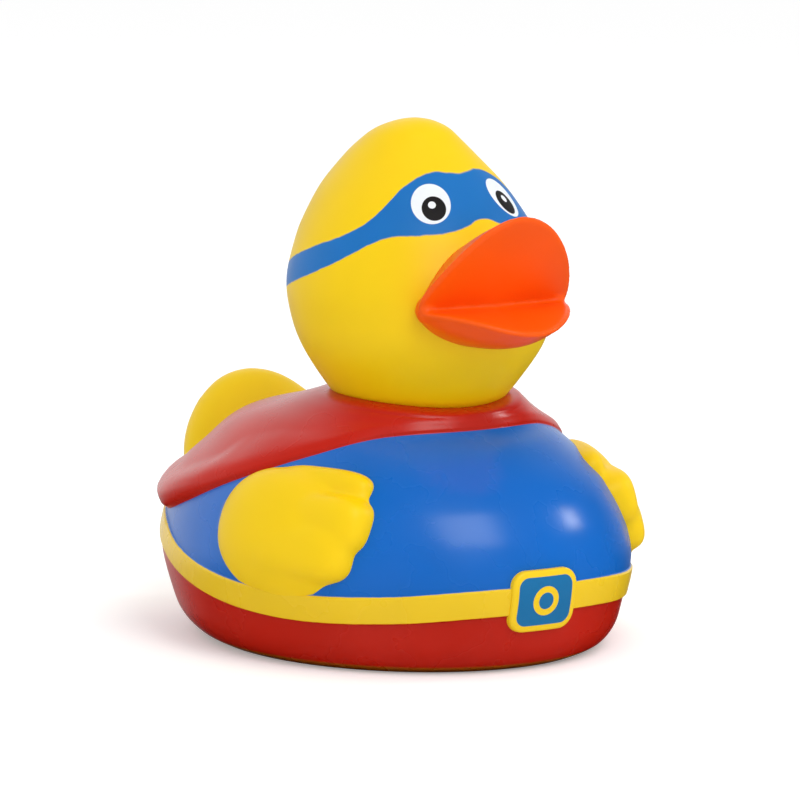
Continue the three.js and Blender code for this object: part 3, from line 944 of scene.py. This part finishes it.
class Nodes:
    """Short way to write the nodes of a material or a world."""

    def __init__(self, owner):
        owner.use_nodes = True
        self.tree = owner.node_tree
        self.shader = self.tree.nodes.get("Principled BSDF")

    def add(self, kind, inputs=None, output=0, **settings):
        """Adds a node, sets or links its inputs and returns one of its outputs."""
        node = self.tree.nodes.new(kind)
        for key, value in settings.items():
            setattr(node, key, value)
        for key, value in (inputs or {}).items():
            self.feed(node.inputs[key], value)
        return node.outputs[output]

    def feed(self, socket, value):
        """Links an output to a socket, or sets a number or a colour on it."""
        if isinstance(value, bpy.types.NodeSocket):
            self.tree.links.new(value, socket)
        elif socket.type == "RGBA":
            socket.default_value = (*value, 1)
        else:
            socket.default_value = value

    def shade(self, inputs):
        """Sets or links inputs of the material's shader."""
        for name, value in inputs.items():
            self.feed(self.shader.inputs[name], value)

    def math(self, operation, *values):
        """One sum over numbers and outputs."""
        return self.add("ShaderNodeMath", dict(enumerate(values)), operation=operation)

    def split(self, vector):
        """The X, Y and Z of a vector."""
        node = self.tree.nodes.new("ShaderNodeSeparateXYZ")
        self.feed(node.inputs[0], vector)
        return node.outputs

    def mix(self, amount, first, second):
        """Colour between two colours."""
        return self.add("ShaderNodeMix", {0: amount, 6: first, 7: second}, output=2, data_type="RGBA")

    def field(self, name):
        """A number written on the mesh."""
        return self.add("ShaderNodeAttribute", output=2, attribute_name=name)

    def place(self):
        """The place on the piece."""
        return self.add("ShaderNodeTexCoord", output=3)

    def noise(self, scale, detail=2.0):
        """Soft noise round 0.5."""
        inputs = {"Vector": self.place(), "Scale": scale, "Detail": detail}
        return self.add("ShaderNodeTexNoise", inputs)

    def wobble(self, scale, size):
        """Soft noise round 0."""
        return self.math("MULTIPLY", self.math("SUBTRACT", self.noise(scale), 0.5), size)

    def ramp(self, value, start, end, low=0.0, high=1.0, kind="LINEAR"):
        """Goes from low to high while the value goes from start to end."""
        inputs = dict(enumerate((value, start, end, low, high)))
        return self.add("ShaderNodeMapRange", inputs, interpolation_type=kind)

    def edge(self, distance, softness):
        """0 outside and 1 inside an edge, over a soft band in the distance's own unit."""
        return self.ramp(distance, -softness, softness, kind="SMOOTHSTEP")


def finish_surface(nodes, shade, roughness, grain, specular):
    """Satin skin: the colour, soft changes of gloss and a fine moulded grain."""
    smooth, rough = (roughness + change for change in SHEEN_SPREAD)
    sheen = nodes.ramp(nodes.noise(SHEEN_SCALE, SHEEN_DETAIL), *SHEEN_RANGE, smooth, rough)
    fine, broad = (nodes.math("MULTIPLY", nodes.noise(scale), share) for scale, share in GRAIN)
    inputs = {"Height": nodes.math("ADD", fine, broad), "Strength": GRAIN_STRENGTH, "Distance": grain}
    bump = nodes.add("ShaderNodeBump", inputs)
    nodes.shade({"Base Color": shade, "Roughness": sheen, "Specular IOR Level": specular, "Normal": bump})


def mottled(nodes, colours, name):
    """A colour with a faint cloudy change of depth, as sprayed paint has."""
    colour = tuple(getattr(colours, name))
    deep = tuple(channel * (1 - CLOUDS[name]) for channel in colour)
    return nodes.mix(nodes.ramp(nodes.noise(CLOUD_SCALE), *CLOUD_RANGE), deep, colour)


def paint_body(colours):
    """Red cape and trunks, blue shirt, yellow belt and the bare edge of the foot, darker than the vinyl as
    painted shade along the floor.
    """
    nodes = Nodes(bpy.data.materials.new("painted_body"))
    wobble = nodes.wobble(*BODY_WOBBLE)
    height = nodes.split(nodes.place())[2]
    cape = nodes.edge(nodes.math("ADD", nodes.field("cape"), CAPE_PAINT_LOW), SPRAY)
    belt_wobble = nodes.math("MULTIPLY", wobble, BELT_WOBBLE_SHARE)
    belt = nodes.edge(nodes.math("ADD", nodes.field("belt"), belt_wobble), SPRAY)
    above_belt = nodes.edge(nodes.field("above_belt"), SPRAY)
    # Painted shade: a darker band along the bottom edge of the foot
    foot_shade_edge = nodes.math("SUBTRACT", FOOT_SHADE_TOP, nodes.math("MULTIPLY", height, 1 / MM))
    foot = nodes.edge(nodes.math("ADD", foot_shade_edge, wobble), FOOT_SPRAY)
    red = mottled(nodes, colours, "cape")
    below = nodes.mix(foot, red, colours.foot)
    shade = nodes.mix(above_belt, below, mottled(nodes, colours, "shirt"))
    shade = nodes.mix(belt, shade, mottled(nodes, colours, "belt"))
    shade = nodes.mix(cape, shade, red)
    finish_surface(nodes, shade, *BODY_FINISH)


def paint_head(colours):
    """Yellow vinyl with the mask and the eyes."""
    nodes = Nodes(bpy.data.materials.new("painted_head"))
    mask = nodes.edge(nodes.math("ADD", nodes.field("mask"), nodes.wobble(*MASK_WOBBLE)), MASK_SPRAY)
    shade = mottled(nodes, colours, "vinyl")
    shade = nodes.mix(mask, shade, mottled(nodes, colours, "mask"))
    for oval, tone in EYE_PAINT:
        spot = eye_spot(nodes, *(size * MM for size in oval))
        shade = nodes.mix(spot, shade, getattr(colours, tone))
    nodes.shade(VINYL_GLOW)
    finish_surface(nodes, shade, *HEAD_FINISH)


def eye_frame():
    """Middle of the left eye on the head, its direction towards the bill and its direction up."""
    form = head_form()
    share = form.share_where(EYE_BEARING, lambda point: point.z >= EYE_HEIGHT)
    near, nearby = 0.01, 0.05
    up = form.point(share + near, EYE_BEARING) - form.point(share - near, EYE_BEARING)
    across = form.point(share, EYE_BEARING - nearby) - form.point(share, EYE_BEARING + nearby)
    return form.point(share, EYE_BEARING), across.normalized(), up.normalized()


def eye_spot(nodes, across, up, half_across, half_up):
    """1 inside an oval on either eye, and 0 outside it."""
    middle, inward, upward = eye_frame()
    axis = Vector((0, HEAD_AXIS + LENGTH_SHIFT, 0))
    turned = nodes.add(
        "ShaderNodeVectorRotate",
        {"Vector": nodes.place(), "Center": axis, "Axis": (0, 0, 1), "Angle": -FACE_TURN},
        rotation_type="AXIS_ANGLE",
    )
    x, y, z = nodes.split(turned)
    both = nodes.add("ShaderNodeCombineXYZ", {0: nodes.math("ABSOLUTE", x), 1: y, 2: z})
    middle = middle + Vector((0, LENGTH_SHIFT, 0))
    offset = nodes.add("ShaderNodeVectorMath", {0: both, 1: middle}, operation="SUBTRACT")
    squares = []
    for direction, place, half in ((inward, across, half_across), (upward, up, half_up)):
        inputs = {0: offset, 1: direction}
        reach = nodes.add("ShaderNodeVectorMath", inputs, output=1, operation="DOT_PRODUCT")
        share = nodes.math("DIVIDE", nodes.math("SUBTRACT", reach, place), half)
        squares.append(nodes.math("MULTIPLY", share, share))
    inside = nodes.edge(nodes.math("SUBTRACT", 1.0, nodes.math("ADD", *squares)), EYE_SPRAY)
    front = nodes.math("LESS_THAN", y, axis.y)
    return nodes.math("MULTIPLY", inside, front)


def paint_bill(colours):
    """Orange bill."""
    nodes = Nodes(bpy.data.materials.new("painted_bill"))
    finish_surface(nodes, mottled(nodes, colours, "bill"), *BILL_FINISH)


def paint_bare(colours):
    """Bare yellow vinyl of the wings and the tail."""
    nodes = Nodes(bpy.data.materials.new("bare_vinyl"))
    nodes.shade(VINYL_GLOW)
    finish_surface(nodes, mottled(nodes, colours, "vinyl"), *BARE_FINISH)


def paint_buckle(colours, sizes):
    """Yellow frame, blue field with rounded corners and a plain ring."""
    nodes = Nodes(bpy.data.materials.new("painted_buckle"))
    x, _, z = nodes.split(nodes.place())
    up = nodes.math("SUBTRACT", z, BUCKLE_MIDDLE)
    reaches = []
    for value, size in ((x, sizes.buckle_width), (up, sizes.buckle_height)):
        straight = size / 2 - BUCKLE_FRAME - BUCKLE_FIELD_CORNER
        beyond = nodes.math("SUBTRACT", nodes.math("ABSOLUTE", value), straight)
        reaches.append(nodes.math("MAXIMUM", beyond, 0.0))
    from_corner = distance(nodes, *reaches)
    field = nodes.edge(nodes.math("SUBTRACT", BUCKLE_FIELD_CORNER, from_corner), BUCKLE_FIELD_SPRAY)
    off_ring = nodes.math("ABSOLUTE", nodes.math("SUBTRACT", distance(nodes, x, up), RING_RADIUS))
    ring = nodes.edge(nodes.math("SUBTRACT", RING_HALF_WIDTH, off_ring), RING_SPRAY)
    shade = nodes.mix(field, colours.belt, colours.buckle)
    shade = nodes.mix(ring, shade, colours.belt)
    finish_surface(nodes, shade, *BUCKLE_FINISH)


def distance(nodes, across, up):
    """Length of a sideways and an upward reach together."""
    squares = [nodes.math("MULTIPLY", value, value) for value in (across, up)]
    return nodes.math("SQRT", nodes.math("ADD", *squares))


class DUCK_OT_moulding(bpy.types.Operator):
    """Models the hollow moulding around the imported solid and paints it"""

    bl_idname = "duck.moulding"
    bl_label = "Duck moulding"

    def execute(self, context):
        """Makes the materials and the moulding."""
        sizes = context.scene.duck_sizes
        colours = context.scene.duck_colours
        paint_body(colours)
        paint_head(colours)
        paint_bill(colours)
        paint_bare(colours)
        paint_buckle(colours, sizes)
        duck = make_moulding(sizes)
        duck.name = duck.data.name = "duck_moulding"
        write_fields(duck.data, sizes)
        duck.data.transform(Matrix.Translation((0, LENGTH_SHIFT, 0)))
        duck.data.set_sharp_from_angle(angle=SHARP_ANGLE)
        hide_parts("duck_body")
        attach(duck, "root")
        return {"FINISHED"}


class DUCK_OT_stage(bpy.types.Operator):
    """Sets the floor, the lamps, the surroundings and the camera"""

    bl_idname = "duck.stage"
    bl_label = "Studio"

    def execute(self, context):
        """Makes the stage."""
        settings = context.scene.duck_stage
        make_floor()
        make_world()
        make_lamps()
        make_camera(settings)
        context.scene.view_settings.view_transform = "Standard"
        return {"FINISHED"}


def seen_directly(nodes):
    """1 for rays from the camera, in reflections and through glass, and 0 for the light on the duck."""
    path = nodes.tree.nodes.new("ShaderNodeLightPath").outputs
    seen = path["Is Camera Ray"]
    for name in ("Is Glossy Ray", "Is Transmission Ray"):
        seen = nodes.math("MAXIMUM", seen, path[name])
    return seen


def make_floor():
    """A white floor that keeps the duck's soft shadow."""
    grid = bmesh.new()
    bmesh.ops.create_grid(grid, x_segments=1, y_segments=1, size=FLOOR_HALF_WIDTH)
    floor = finished(grid, "floor", 0)
    material = bpy.data.materials.new("floor")
    nodes = Nodes(material)
    inputs = {
        "Base Color": (FLOOR_LEVEL, FLOOR_LEVEL, FLOOR_LEVEL),
        "Roughness": FLOOR_ROUGHNESS,
        "Specular IOR Level": 0.0,
        "Emission Color": WHITE,
        "Emission Strength": nodes.math("MULTIPLY", seen_directly(nodes), FLOOR_LIFT),
    }
    nodes.shade(inputs)
    floor.data.materials.append(material)
    floor.visible_glossy = False


def make_world():
    """Even light all round, white behind the duck and a dark room in front of it."""
    world = bpy.data.worlds.new("studio")
    bpy.context.scene.world = world
    nodes = Nodes(world)
    plain = nodes.tree.nodes["Background"]
    nodes.feed(plain.inputs["Color"], WHITE)
    nodes.feed(plain.inputs["Strength"], SKY_LEVEL)
    _, y, z = nodes.split(nodes.add("ShaderNodeTexCoord"))
    behind = nodes.math("MULTIPLY_ADD", nodes.math("MINIMUM", z, 0.0), BELOW_WEIGHT, y)
    level = nodes.ramp(behind, BACK_START, BACK_END, FRONT_LEVEL, kind="SMOOTHSTEP")
    white = nodes.math("MAXIMUM", nodes.add("ShaderNodeLightPath"), level)
    shown = nodes.add("ShaderNodeBackground", {"Color": WHITE, "Strength": white})
    light = nodes.add("ShaderNodeMixShader", {0: seen_directly(nodes), 1: plain.outputs[0], 2: shown})
    nodes.feed(nodes.tree.nodes["World Output"].inputs["Surface"], light)


def make_lamps():
    """Soft lamps round the duck."""
    middle = (CAD_LOW + CAD_HIGH) / 2
    for name, direction, distance, (width, height), power, glossy in LAMPS:
        light = bpy.data.lights.new(name, "AREA")
        light.shape = "RECTANGLE"
        light.size, light.size_y = width, height
        light.energy = power
        lamp = bpy.data.objects.new(name, light)
        toward = Vector(direction).normalized()
        lamp.location = middle + toward * distance
        lamp.rotation_euler = (-toward).to_track_quat("-Z", "Y").to_euler()
        lamp.visible_glossy = glossy
        bpy.context.scene.collection.objects.link(lamp)


def make_camera(settings):
    """Camera at the angle and the distance of the settings."""
    azimuth, elevation = settings.azimuth, settings.elevation
    right = Vector((math.cos(azimuth), math.sin(azimuth), 0))
    level = Vector((math.sin(azimuth), -math.cos(azimuth), 0))
    back = level * math.cos(elevation) + Vector((0, 0, math.sin(elevation)))
    up = back.cross(right)
    target = Vector((0, LENGTH_SHIFT, 0)) + right * VIEW_RIGHT + up * VIEW_UP
    camera = bpy.data.objects.new("camera", bpy.data.cameras.new("camera"))
    camera.data.sensor_width = SENSOR
    camera.data.lens = SENSOR * settings.distance / settings.view_width
    turn = Matrix((right, up, back)).transposed().to_4x4()
    camera.matrix_world = Matrix.Translation(target + back * settings.distance) @ turn
    bpy.context.scene.collection.objects.link(camera)
    bpy.context.scene.camera = camera


class DUCK_PT_panel(bpy.types.Panel):
    """Lists the settings and a button for each operator"""

    bl_idname = "DUCK_PT_panel"
    bl_label = "Bath duck"
    bl_space_type = "VIEW_3D"
    bl_region_type = "UI"
    bl_category = "Duck"

    def draw(self, context):
        """Shows every setting and a button for each operator."""
        layout = self.layout
        for group in (context.scene.duck_sizes, context.scene.duck_colours, context.scene.duck_stage):
            for name in group.bl_rna.properties.keys():
                if name not in ("rna_type", "name"):
                    layout.prop(group, name)
        layout.operator(DUCK_OT_moulding.bl_idname)
        layout.operator(DUCK_OT_stage.bl_idname)


CLASSES = (DuckSizes, DuckColours, StageSettings, DUCK_OT_moulding, DUCK_OT_stage, DUCK_PT_panel)


def register():
    """Adds the classes and their settings."""
    for cls in CLASSES:
        bpy.utils.register_class(cls)
    bpy.types.Scene.duck_sizes = bpy.props.PointerProperty(type=DuckSizes)
    bpy.types.Scene.duck_colours = bpy.props.PointerProperty(type=DuckColours)
    bpy.types.Scene.duck_stage = bpy.props.PointerProperty(type=StageSettings)


def unregister():
    """Removes the settings and the classes."""
    del bpy.types.Scene.duck_sizes
    del bpy.types.Scene.duck_colours
    del bpy.types.Scene.duck_stage
    for cls in reversed(CLASSES):
        bpy.utils.unregister_class(cls)


def main():
    """Makes the duck and its stage."""
    register()
    bpy.ops.duck.moulding()
    bpy.ops.duck.stage()


if __name__ == "__main__":
    main()
